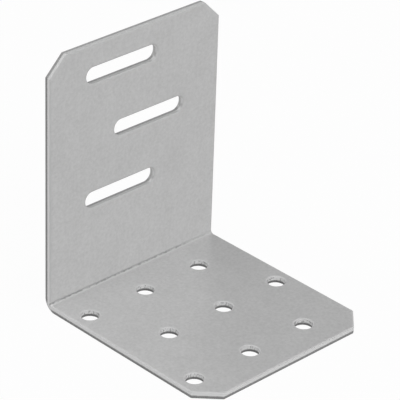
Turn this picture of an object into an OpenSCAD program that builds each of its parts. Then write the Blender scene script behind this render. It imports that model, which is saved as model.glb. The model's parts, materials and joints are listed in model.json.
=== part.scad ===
// Adjustable mounting angle bracket, sheared, punched and folded from one galvanised steel sheet.
// X runs along the fold, the base leg reaches towards -Y, the upright leg rises in +Z at the back.
// The origin is under the middle of the base leg, on its underside.

/* [Sheet] */
// Thickness of the sheet
sheet_t = 2; // [1:0.25:4]
// Width of the bracket, along the fold
width = 60; // [45:1:120]
// Inside radius of the fold
fold_r = 0.9; // [0.6:0.1:6]
// By how much the outside of the fold is rounder than the sheet alone would make it, as the fold thins it
fold_thinning = 0.7; // [0.2:0.1:1.5]

/* [Upright leg] */
// Height of the upright leg, from the underside of the bracket
upright_h = 75; // [60:1:150]
// Leg of the 45 degree cut at each top corner
upright_cut = 5.5; // [2:0.1:10]

/* [Base leg] */
// Length of the base leg, from the back of the bracket
base_l = 63; // [45:1:150]
// Leg of the 45 degree cut at each front corner
base_cut = 6; // [2:0.1:9]

/* [Slots] */
// Number of slots, one above the other
slot_count = 3; // [1:1:4]
// Length of a slot, over its round ends
slot_l = 25; // [10:0.5:45]
// Width of a slot
slot_w = 4.8; // [3:0.1:8]
// Shift of each slot off the middle, to the left and right by turns
slot_shift = 5; // [0:0.5:12]
// From the top edge to the middle of the highest slot
slot_drop = 9; // [7:0.1:20]
// From the underside to the middle of the lowest slot
slot_rise = 29; // [15:0.1:40]

/* [Screw holes] */
// Number of rows of holes
row_count = 3; // [2:1:5]
// Number of holes in a row
row_holes = 3; // [2:1:5]
// Diameter of a hole
hole_d = 5; // [3:0.1:7]
// From a side edge to the nearest hole of the row that starts there
hole_inset = 5; // [4:0.1:10]
// From the back of the bracket to the first row
row_first = 12.5; // [9:0.1:20]
// From the last row to the front edge
row_last = 10; // [7:0.1:20]

/* [Sheared edges] */
// Reach of the lip that the tool rolled over, along the face, as a share of the sheet
roll_share = 0.25; // [0.1:0.01:0.3]
// Depth of that lip, down the cut, as a share of its reach
roll_sink = 0.5; // [0.3:0.05:1]
// Height of the torn zone under the smooth land, as a share of the sheet
tear_share = 0.38; // [0.2:0.01:0.6]
// Lean of the torn zone, away from the cut, as a share of the sheet
lean_share = 0.05; // [0.02:0.01:0.1]

/* [Hidden] */
$fn = 96;
// How far a cutting shape runs past the face that it cuts
over = 1;
// Back of the bracket, where both outer faces would meet
heel_y = base_l / 2;
fold_outer_r = fold_r + sheet_t;
heel_r = fold_outer_r + fold_thinning;
// The arc of the lip is centred a tenth further in than it reaches, so it leaves the face at a slant
roll = roll_share * sheet_t;
roll_depth = roll_sink * roll;
roll_inset = 1.1 * roll;
roll_below = (2 * roll_inset * roll - pow(roll, 2) + pow(roll_depth, 2)) / (2 * roll_depth);
roll_r = sqrt(pow(roll_inset, 2) + pow(roll_below - roll_depth, 2));
tear_h = tear_share * sheet_t;
tear_lean = lean_share * sheet_t;
// Neighbouring rows lie half a pitch apart, so a row and a half pitch fill the width between the insets
hole_pitch = (width - 2 * hole_inset) / (row_holes - 0.5);
row_pitch = (base_l - row_first - row_last) / (row_count - 1);
slot_pitch = (upright_h - slot_drop - slot_rise) / max(slot_count - 1, 1);
zinc = [0.71, 0.71, 0.71];

// A drawing in X and Y stands in the YZ plane, and its depth runs along X
module across() {
    rotate([90, 0, 90])
        children();
}

// Lays a flat leg down as the base leg: Y leads from the heel to the front, Z from outside to inside
module as_base() {
    translate([0, heel_y, 0])
        mirror([0, 1, 0])
            children();
}

// Stands a flat leg up as the upright leg: Y leads from the heel to the top, Z from outside to inside
module as_upright() {
    translate([0, heel_y, 0])
        rotate([90, 0, 0])
            children();
}

// What the tool took away beside an edge: X points away from the metal, Y from outside to inside.
// Below is the torn zone that leans back, then the straight land, then the rolled lip.
module cut_away(reach) {
    translate([0, -over])
        square([reach, sheet_t + 2 * over]);
    polygon([
        [0, tear_h],
        [0, -over],
        [-tear_lean * (tear_h + over) / tear_h, -over]
    ]);
    translate([-roll_inset, sheet_t - roll_below])
        difference() {
            square([roll_inset, roll_below + over]);
            circle(r = roll_r);
        }
}

// The sheet from side to side, with both of its sheared edges
module sheet_section() {
    difference() {
        translate([-width / 2 - over, 0])
            square([width + 2 * over, sheet_t]);
        for (side = [0, 1])
            mirror([side, 0])
                translate([width / 2, 0])
                    cut_away(2 * over);
    }
}

// Shears an edge of the given length, with the waste on the +Y side
module sheared_edge(length) {
    across()
        linear_extrude(height = length, center = true)
            cut_away(width);
}

// One leg, flat, from the end of the fold to its sheared end with two cut corners
module flat_leg(length, corner_cut) {
    difference() {
        translate([0, length + over, 0])
            rotate([90, 0, 0])
                linear_extrude(height = length + over - fold_outer_r)
                    sheet_section();
        translate([0, length, 0])
            sheared_edge(2 * width);
        for (side = [0, 1])
            mirror([side, 0, 0])
                translate([(width - corner_cut) / 2, length - corner_cut / 2, 0])
                    rotate([0, 0, -45])
                        sheared_edge(2 * width);
    }
}

// Turns a section of the sheet around the fold, with its outside at the given radius
module turned(radius) {
    translate([0, heel_y - radius, radius])
        across()
            rotate([0, 0, -90])
                rotate_extrude(angle = 90)
                    translate([radius, 0])
                        rotate([0, 0, 90])
                            children();
}

// The fold that joins the legs
module fold() {
    turned(fold_outer_r)
        sheet_section();
}

// What the stretched outside of the fold lacks, with the torn zone of both edges set back to match
module heel_round() {
    turned(heel_r)
        difference() {
            translate([-width / 2 - over, -over])
                square([width + 2 * over, over + tear_h]);
            sheet_section();
        }
}

// A punched round hole, in from the inside face
module punched_hole(diameter) {
    rotate_extrude()
        intersection() {
            translate([diameter / 2, 0])
                mirror([1, 0])
                    cut_away(diameter);
            translate([0, -over])
                square([diameter, sheet_t + 2 * over]);
        }
}

// A punched slot with round ends, in from the inside face
module punched_slot() {
    straight = slot_l - slot_w;
    across()
        linear_extrude(height = straight, center = true)
            for (side = [0, 1])
                mirror([side, 0])
                    translate([slot_w / 2, 0])
                        mirror([1, 0])
                            cut_away(slot_w / 2);
    for (end = [-1, 1])
        translate([end * straight / 2, 0, 0])
            punched_hole(slot_w);
}

// Slots one above the other, by turns left and right of the middle
module slots() {
    for (i = [0 : slot_count - 1])
        translate([(i % 2 == 0 ? -1 : 1) * slot_shift, upright_h - slot_drop - i * slot_pitch, 0])
            punched_slot();
}

// Rows of holes that start by turns at the left and the right edge, half a pitch apart
module screw_holes() {
    for (row = [0 : row_count - 1], i = [0 : row_holes - 1])
        translate([
            (row % 2 == 0 ? -1 : 1) * (width / 2 - hole_inset - i * hole_pitch),
            row_first + row * row_pitch,
            0
        ])
            punched_hole(hole_d);
}

module angle_bracket() {
    color(zinc)
        difference() {
            union() {
                as_base()
                    flat_leg(base_l, base_cut);
                fold();
                as_upright()
                    flat_leg(upright_h, upright_cut);
            }
            heel_round();
            as_base()
                screw_holes();
            as_upright()
                slots();
        }
}

angle_bracket();
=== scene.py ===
import json
import math

import bpy
from mathutils import Matrix, Vector


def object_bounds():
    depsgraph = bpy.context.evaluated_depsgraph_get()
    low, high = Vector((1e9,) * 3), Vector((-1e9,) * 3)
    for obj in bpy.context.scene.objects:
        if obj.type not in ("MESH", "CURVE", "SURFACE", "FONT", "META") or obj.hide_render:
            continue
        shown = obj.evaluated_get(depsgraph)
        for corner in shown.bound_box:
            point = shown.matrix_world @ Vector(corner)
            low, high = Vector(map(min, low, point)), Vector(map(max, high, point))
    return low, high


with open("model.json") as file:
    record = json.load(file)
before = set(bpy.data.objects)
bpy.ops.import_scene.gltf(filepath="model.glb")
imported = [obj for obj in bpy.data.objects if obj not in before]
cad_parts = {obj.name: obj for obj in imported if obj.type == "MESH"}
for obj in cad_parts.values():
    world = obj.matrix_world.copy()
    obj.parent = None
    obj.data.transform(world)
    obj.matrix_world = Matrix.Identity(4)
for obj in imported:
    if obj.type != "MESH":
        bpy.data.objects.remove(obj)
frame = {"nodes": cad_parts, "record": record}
cadLow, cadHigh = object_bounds()
bracket = frame["nodes"]["angle_bracket"]
toMm = 1000
print("frame loaded:", [round(side * toMm, 1) for side in cadHigh - cadLow], "mm")


class Wire:  # one socket of a node tree; sums with it add Math nodes
    def __init__(self, tree, socket=None):
        self.tree = tree
        self.socket = socket

    def node(self, kind, settings=None, sockets=None, outlet=0):
        made = self.tree.nodes.new(kind)
        for name, value in (settings or {}).items():
            setattr(made, name, value)
        for name, value in (sockets or {}).items():
            if isinstance(value, Wire):
                self.tree.links.new(value.socket, made.inputs[name])
            else:
                made.inputs[name].default_value = value
        return Wire(self.tree, made.outputs[outlet]) if made.outputs else made

    def math(self, operation, *terms):
        return self.node("ShaderNodeMath", {"operation": operation}, dict(enumerate(terms)))

    def __add__(self, other):
        return self.math("ADD", self, other)

    def __sub__(self, other):
        return self.math("SUBTRACT", self, other)

    def __rsub__(self, other):
        return self.math("SUBTRACT", other, self)

    def __mul__(self, other):
        return self.math("MULTIPLY", self, other)

    def __truediv__(self, other):
        return self.math("DIVIDE", self, other)

    def __rtruediv__(self, other):
        return self.math("DIVIDE", other, self)

    def __abs__(self):
        return self.math("ABSOLUTE", self)

    __radd__ = __add__
    __rmul__ = __mul__

    def atLeast(self, least):
        return self.math("MAXIMUM", self, least)

    def atMost(self, most):
        return self.math("MINIMUM", self, most)

    def fade(self, start, end):  # 0 at start, 1 at end, eased
        limits = {"Value": self, "From Min": start, "From Max": end}
        return self.node("ShaderNodeMapRange", {"interpolation_type": "SMOOTHSTEP"}, limits)

    def band(self, start, full, fall, end):  # rises from start to full, sinks from fall to end
        return self.fade(start, full) * self.fade(end, fall)

    def blend(self, first, second):  # colour first where this wire is 0, second where it is 1
        return self.node("ShaderNodeMix", {"data_type": "RGBA"}, {0: self, 6: first, 7: second}, 2)

    def vector(self, *parts):
        return self.node("ShaderNodeCombineXYZ", sockets=dict(enumerate(parts)))

    def parts(self):  # the three numbers of a vector
        split = self.node("ShaderNodeSeparateXYZ", sockets={0: self}).socket.node
        return [Wire(self.tree, outlet) for outlet in split.outputs]

    def noise(self, scale, detail, roughness=0.55):
        return self.node("ShaderNodeTexNoise", {"noise_dimensions": "3D"},
                         {"Vector": self, "Scale": scale, "Detail": detail, "Roughness": roughness})


noiseMean = 0.5  # noise textures swing about this value


def newMaterial(name):
    material = bpy.data.materials.new(name)
    material.use_nodes = True
    material.node_tree.nodes.clear()
    return material, Wire(material.node_tree)


def grey(level):
    return (level, level, level, 1)


# the sheet, measured on the frame
hair = 1e-6
facesUp = 0.7
heelY = cadHigh.y
mounts = {mount["name"]: mount for mount in frame["record"]["mounts"]}
sheetT = mounts["base_top"]["pos_m"][2]
flatEndY = max(v.co.y for v in bracket.data.vertices
               if abs(v.co.z - sheetT) < hair and v.normal.z > facesUp)
foldOuterR = heelY - flatEndY
sheetMm = sheetT * toMm
halfWidthMm = cadHigh.x * toMm
print("sheet", round(sheetMm, 2), "mm, fold outside radius", round(foldOuterR * toMm, 2), "mm")

zincFinish = {
    "zincDull": grey(0.455),
    "zincClear": grey(0.545),
    # painted shade: the lips' tone, a little below the zinc's, dims their highlights
    "lipDimmedTone": grey(0.48),
    "landSteel": grey(0.635),
    "scoredSteel": grey(0.38),
    "tornSteel": grey(0.33),
    # dark torn steel; in the holes it is also painted shade at the walls' bottom
    "tornDarkAndHoleShade": grey(0.215),
    # painted shade: the dark line in the fold's inner corner
    "foldShadeGrey": grey(0.22),
    # painted shade: the band that dims the fold's pale highlight
    "foldDimmedZinc": grey(0.47),
    "sheen": 0.34,  # metallic share of the base leg's zinc, which mirrors the upright leg
    "burnish": 0.45,  # and of the edges, where the tools rubbed
    "lipDulling": 0.6,  # share of the sheen that the lips lack
    "lipBurnish": 0.15,  # share of the burnish that they have
    "gloss": 0.05,
    "roughness": 0.34,
    "roughnessSpread": 0.1,
    "tornRoughness": 0.7,
    "relief": 0.2,
    "reliefDepth": 0.00005,
    "grainRelief": 0.4,
    "tearRelief": 1.5,
    # noises: size per millimetre, detail
    "grain": (1.3, 3.0),
    "clouds": (0.12, 2.0),
    "streaks": (1.2, 2.0),
    "tears": (5.0, 2.0),
    "scores": (2.0, 1.0),
    "foldShade": (0.7, 4.0),
    # shares of the noises in the mottle, and how far marks are drawn out
    "grainShare": 1.85,
    "cloudShare": 0.6,
    "streakShare": 0.3,
    "streakStretch": 0.04,
    "tearStretch": 0.12,
    "scoreStretch": 0.5,
    # the zones of a sheared edge, lengths in millimetres
    "legBlend": 0.3,  # share of the fold in which one leg's finish passes into the other's
    "wallFlatness": (0.55, 0.35),
    "lipFlatness": (0.998, 0.95),
    "insideShare": (0.6, 0.75),  # of the sheet, from the outside
    "tearShare": 0.38,  # torn zone, as a share of the sheet
    "tearFeather": 0.28,  # over which it passes into the land
    "tearCore": 0.08,
    "raggedness": 0.3,
    "upFacingShade": 0.12,  # more of it on the upright's walls that face up, which paints shade there, and less in the holes
    "holeTear": 0.07,
    "foldSmoothing": 0.75,  # share of the tearing that the die smoothed at the fold's ends
    "slotEndLightening": 0.7,  # and the share taken off at the slots' ends, where it paints light on walls that lie in shade
    "upperSlope": (0.3, 0.9),
    "slotEndSlope": (0.4, 0.9),
    "rim": (0.0006, 0.001),  # metres from the outline to what was punched
    "scoreLevels": (0.5, 0.62),
    "slotScores": 0.3,
    "lipEase": 0.5,  # share by which lips are shaded shallower, on the upright and the base leg
    "baseLipEase": 0.4,
    # painted shade in the fold's inner corner: a dark line, and below it a band that dims the fold's pale
    # highlight; in millimetres above the corner's slant
    "foldShadeLevels": (0.3, 0.7),
    "foldShadeBand": (-0.2, 0.3, 0.55, 1.0),
    "foldShadeWander": 0.35,
    "foldShadeLeast": 0.42,
    "foldShadeBreak": 0.6,
    "foldShadeThinning": 0.6,  # towards the right end, from a share of the half width on
    "foldShadeThinFrom": 0.4,
    # the band that dims the fold's pale highlight, painted shade
    "foldDimBand": (-0.9, -0.5, -0.05, 0.3),
    "foldDimBreak": 0.6,
}


class SheetSpot:  # where a point lies on the folded sheet
    def __init__(self, paint, finish):
        self.x, self.y, self.z = paint.node("ShaderNodeTexCoord", outlet="Object").parts()
        self.facing = paint.node("ShaderNodeNewGeometry", outlet="Normal")
        self.slopeX, slopeY, self.slopeZ = self.facing.parts()

        # from the fold's centre line: past is 0 along the base leg, under along the upright leg
        past = (self.y - flatEndY).atLeast(0)
        under = (foldOuterR - self.z).atLeast(0)
        reach = paint.math("SQRT", past * past + under * under)
        legBlend = finish["legBlend"] * foldOuterR
        self.lying = under.fade(0, legBlend)  # 1 on the base leg, 0 on the upright leg
        self.standing = 1 - self.lying
        self.atFold = past.fade(0, legBlend) * self.lying
        self.inward = paint.vector(0, (0 - past) / reach, under / reach)
        self.flatness = abs(slopeY * past - self.slopeZ * under) / reach  # 1 on the faces, 0 on the walls

        # on the flat blank, in millimetres: to the side, along the unfolded sheet, in from the outside face
        turn = paint.math("ARCTAN2", past, under) * foldOuterR
        self.side = self.x * toMm
        self.along = (self.y.atMost(flatEndY) + turn + self.z.atLeast(foldOuterR)) * toMm
        self.depth = (foldOuterR - reach) * toMm
        self.inside = self.depth.fade(*(share * sheetMm for share in finish["insideShare"]))

    def onBlank(self, alongStretch=1, depthStretch=1):
        return self.side.vector(self.side, self.along * alongStretch, self.depth * depthStretch)


def punchedMask(spot, finish):  # 1 in the holes and slots, 0 along the outline
    outlineSides = ((1, 0, 0), (0, -1, 0), (1, -1, 0), (0, 0, 1), (1, 0, 1))
    folded = spot.x.vector(abs(spot.x), spot.y, spot.z)  # the outline's right half stands for both
    rightHalf = [Vector((abs(v.co.x), v.co.y, v.co.z)) for v in bracket.data.vertices]
    mask = 1
    for outward in outlineSides:
        limit = max(corner.dot(outward) for corner in rightHalf)
        way = folded.node("ShaderNodeVectorMath", {"operation": "DOT_PRODUCT"},
                          {0: folded, 1: outward}, "Value")
        mask = mask * (limit - way).fade(*finish["rim"])
    return mask


def foldShadeLines(spot, finish):  # painted shade in the inner corner: a dark line, above a band that dims the fold's pale highlight
    level = (spot.z + spot.y - heelY) * toMm
    broken = spot.side.vector(spot.side, level).noise(*finish["foldShade"]).fade(*finish["foldShadeLevels"])
    thinning = finish["foldShadeThinning"]
    left = spot.side.fade(halfWidthMm, finish["foldShadeThinFrom"] * halfWidthMm)
    shadeStrength = (broken * finish["foldShadeBreak"] + finish["foldShadeLeast"]) * (left * thinning + (1 - thinning))
    shadeLevel = level + (broken - noiseMean) * finish["foldShadeWander"]
    foldShade = spot.inside * shadeLevel.band(*finish["foldShadeBand"]) * shadeStrength
    foldDimming = spot.inside * level.band(*finish["foldDimBand"]) * (1 - broken * finish["foldDimBreak"])
    return foldShade, foldDimming


def easedNormal(spot, lip, finish):  # lips are shaded shallower than they are
    ease = lip * (spot.standing * finish["lipEase"] + spot.lying * finish["baseLipEase"])
    eased = lip.node("ShaderNodeMix", {"data_type": "VECTOR"}, {0: ease, 4: spot.facing, 5: spot.inward}, 1)
    return lip.node("ShaderNodeVectorMath", {"operation": "NORMALIZE"}, {0: eased})


def zincMaterial(finish):
    material, paint = newMaterial("galvanisedSteel")
    spot = SheetSpot(paint, finish)
    punched = punchedMask(spot, finish)
    holes = spot.lying * punched
    # the slots' end walls, which lie in shade; below they are painted lighter
    litSlotEnds = spot.standing * punched * abs(spot.slopeX).fade(*finish["slotEndSlope"])
    upper = spot.standing * spot.slopeZ.fade(*finish["upperSlope"])

    # a sheared wall is torn outside and smooth further in, and a lip rolls over to the inside face
    wall = spot.flatness.fade(*finish["wallFlatness"])
    tears = spot.onBlank(depthStretch=finish["tearStretch"]).noise(*finish["tears"])
    ragged = spot.depth + (tears - noiseMean) * finish["raggedness"]
    holeTear = holes * finish["holeTear"]
    # the wider dark band on walls that face up is painted shade
    tearTop = finish["tearShare"] * sheetMm + upper * finish["upFacingShade"] - holeTear
    tearing = ragged.fade(tearTop + finish["tearFeather"] - holeTear, tearTop - finish["tearCore"])
    # less tearing at the slots' ends is painted light on walls in shade; at the fold's ends it is die
    # smoothing
    smoothedAndLit = (1 - spot.atFold * finish["foldSmoothing"]) * (1 - litSlotEnds * finish["slotEndLightening"])
    torn = wall * tearing * smoothedAndLit
    land = wall * (1 - torn)
    lip = spot.flatness.fade(*finish["lipFlatness"]) * (1 - wall) * spot.inside
    scored = spot.onBlank(depthStretch=finish["scoreStretch"]).noise(*finish["scores"])
    holeScores = spot.lying * scored.fade(*finish["scoreLevels"])
    # no scoring on the slots' ends: part of their painted light
    scores = (holeScores + (spot.standing - litSlotEnds) * finish["slotScores"]) * punched

    grain = spot.onBlank().noise(*finish["grain"])
    clouds = spot.onBlank().noise(*finish["clouds"])
    streaks = spot.onBlank(alongStretch=finish["streakStretch"]).noise(*finish["streaks"])
    swing = (grain - noiseMean) * finish["grainShare"] + (clouds - noiseMean) * finish["cloudShare"]
    swing = swing + (streaks - noiseMean) * finish["streakShare"]
    foldShade, foldDimming = foldShadeLines(spot, finish)

    zinc = (swing + noiseMean).blend(finish["zincDull"], finish["zincClear"])
    # the lips take a slightly darker tone, painted shade on their highlights
    skin = lip.blend(zinc, finish["lipDimmedTone"])
    # in the holes the torn band takes the darkest tone throughout: torn steel with painted shade
    tornAndHoleShadeTone = (tears * (1 - holes)).blend(finish["tornDarkAndHoleShade"], finish["tornSteel"])
    landTone = scores.blend(finish["landSteel"], finish["scoredSteel"])
    colour = torn.blend(land.blend(skin, landTone), tornAndHoleShadeTone)
    # painted shade in the inner fold: the dark line, and the band that dims the highlight below it
    colour = foldShade.blend(foldDimming.blend(colour, finish["foldDimmedZinc"]), finish["foldShadeGrey"])
    sheen = spot.lying * (1 - lip * finish["lipDulling"]) * finish["sheen"]
    metal = sheen.atLeast((land + lip * finish["lipBurnish"]) * finish["burnish"])
    dull = finish["roughness"] - swing * finish["roughnessSpread"]
    rough = dull + torn * (finish["tornRoughness"] - finish["roughness"])
    height = grain * finish["grainRelief"] + torn * tears * finish["tearRelief"]
    relief = paint.node("ShaderNodeBump", sockets={
        "Strength": finish["relief"], "Distance": finish["reliefDepth"], "Height": height,
        "Normal": easedNormal(spot, lip, finish)})
    shader = paint.node("ShaderNodeBsdfPrincipled", sockets={
        "Base Color": colour, "Metallic": metal, "Roughness": rough, "Normal": relief,
        "Specular IOR Level": finish["gloss"]})
    paint.node("ShaderNodeOutputMaterial", sockets={"Surface": shader})
    return material


bracket.data.materials.clear()
bracket.data.materials.append(zincMaterial(zincFinish))
print("zinc finish on")

floorLook = {
    "size": 8.0,
    "drop": 0.00005,  # keeps the floor off the underside
    "colour": grey(0.4),
    "white": 0.97,  # share of plain white that the eye sees
}


def makeFloor(look):
    bpy.ops.mesh.primitive_plane_add(size=look["size"], location=(0, 0, cadLow.z - look["drop"]))
    floor = bpy.context.object
    floor.name = "floor"
    material, paint = newMaterial("paperFloor")
    seen, mirrored, through = (paint.node("ShaderNodeLightPath", outlet="Is %s Ray" % ray)
                               for ray in ("Camera", "Glossy", "Transmission"))
    shown = seen.atLeast(mirrored.atLeast(through)) * look["white"]
    matt = paint.node("ShaderNodeBsdfDiffuse", sockets={"Color": look["colour"]})
    white = paint.node("ShaderNodeEmission", sockets={"Color": grey(1), "Strength": 1.0})
    surface = paint.node("ShaderNodeMixShader", sockets={0: shown, 1: matt, 2: white})
    paint.node("ShaderNodeOutputMaterial", sockets={"Surface": surface})
    floor.data.materials.append(material)


makeFloor(floorLook)
print("floor laid")

studio = {  # dim behind on the right, where the base leg mirrors the room
    "room": 0.17,
    "distance": 3.0,
    "softboxes": {
        "frontBox": {"azimuth": 8, "elevation": 28, "size": 2.0, "level": 2.25},
        "highBox": {"azimuth": 12, "elevation": 58, "size": 2.5, "level": 2.94},
        "leftBox": {"azimuth": -90, "elevation": 55, "size": 2.0, "level": 2.75},
        "lowLeftBox": {"azimuth": -72, "elevation": 22, "size": 2.0, "level": 1.0},
        "rearLeftBox": {"azimuth": -165, "elevation": 55, "size": 2.0, "level": 0.9},
        "backBox": {"azimuth": -172, "elevation": 14, "size": 1.4, "level": 3.2},
    },
}


def fromBearing(azimuth, elevation):  # azimuth 0 stands in front, at -Y, and turns towards +X
    a, e = math.radians(azimuth), math.radians(elevation)
    return Vector((math.sin(a) * math.cos(e), -math.cos(a) * math.cos(e), math.sin(e)))


def hangSoftbox(name, box, aim, distance):
    lamp = bpy.data.lights.new(name, "AREA")
    lamp.shape = "SQUARE"
    lamp.size = box["size"]
    lamp.energy = box["level"] * math.pi * lamp.size ** 2
    holder = bpy.data.objects.new(name, lamp)
    bpy.context.scene.collection.objects.link(holder)
    way = fromBearing(box["azimuth"], box["elevation"])
    holder.location = aim + way * distance
    holder.rotation_euler = way.to_track_quat("Z", "Y").to_euler()


middle = (cadLow + cadHigh) / 2
for boxName, boxValues in studio["softboxes"].items():
    hangSoftbox(boxName, boxValues, middle, studio["distance"])
world = bpy.data.worlds.new("room")
bpy.context.scene.world = world
world.use_nodes = True
world.node_tree.nodes["Background"].inputs["Color"].default_value = grey(1)
world.node_tree.nodes["Background"].inputs["Strength"].default_value = studio["room"]
bpy.context.scene.view_settings.view_transform = "Standard"
print("studio lit by", len(studio["softboxes"]), "softboxes")

viewpoint = {
    "azimuth": -44.54,
    "elevation": 29.33,
    "roll": 1.93,
    "distance": 0.65435,
    "aside": -0.00292,  # aim beside and below the middle of the box
    "rise": -0.00124,
    "lens": 225.6,
    "sensor": 36.0,
}


def setCamera(look):
    camera = bpy.data.cameras.new("camera")
    camera.lens = look["lens"]
    camera.sensor_width = look["sensor"]
    holder = bpy.data.objects.new("camera", camera)
    bpy.context.scene.collection.objects.link(holder)
    back = fromBearing(look["azimuth"], look["elevation"])
    upright = back.to_track_quat("Z", "Y").to_matrix()
    turned = upright @ Matrix.Rotation(math.radians(look["roll"]), 3, "Z")
    aim = middle + turned @ Vector((look["aside"], look["rise"], 0))
    holder.matrix_world = Matrix.Translation(aim + back * look["distance"]) @ turned.to_4x4()
    bpy.context.scene.camera = holder


setCamera(viewpoint)
print("camera set")
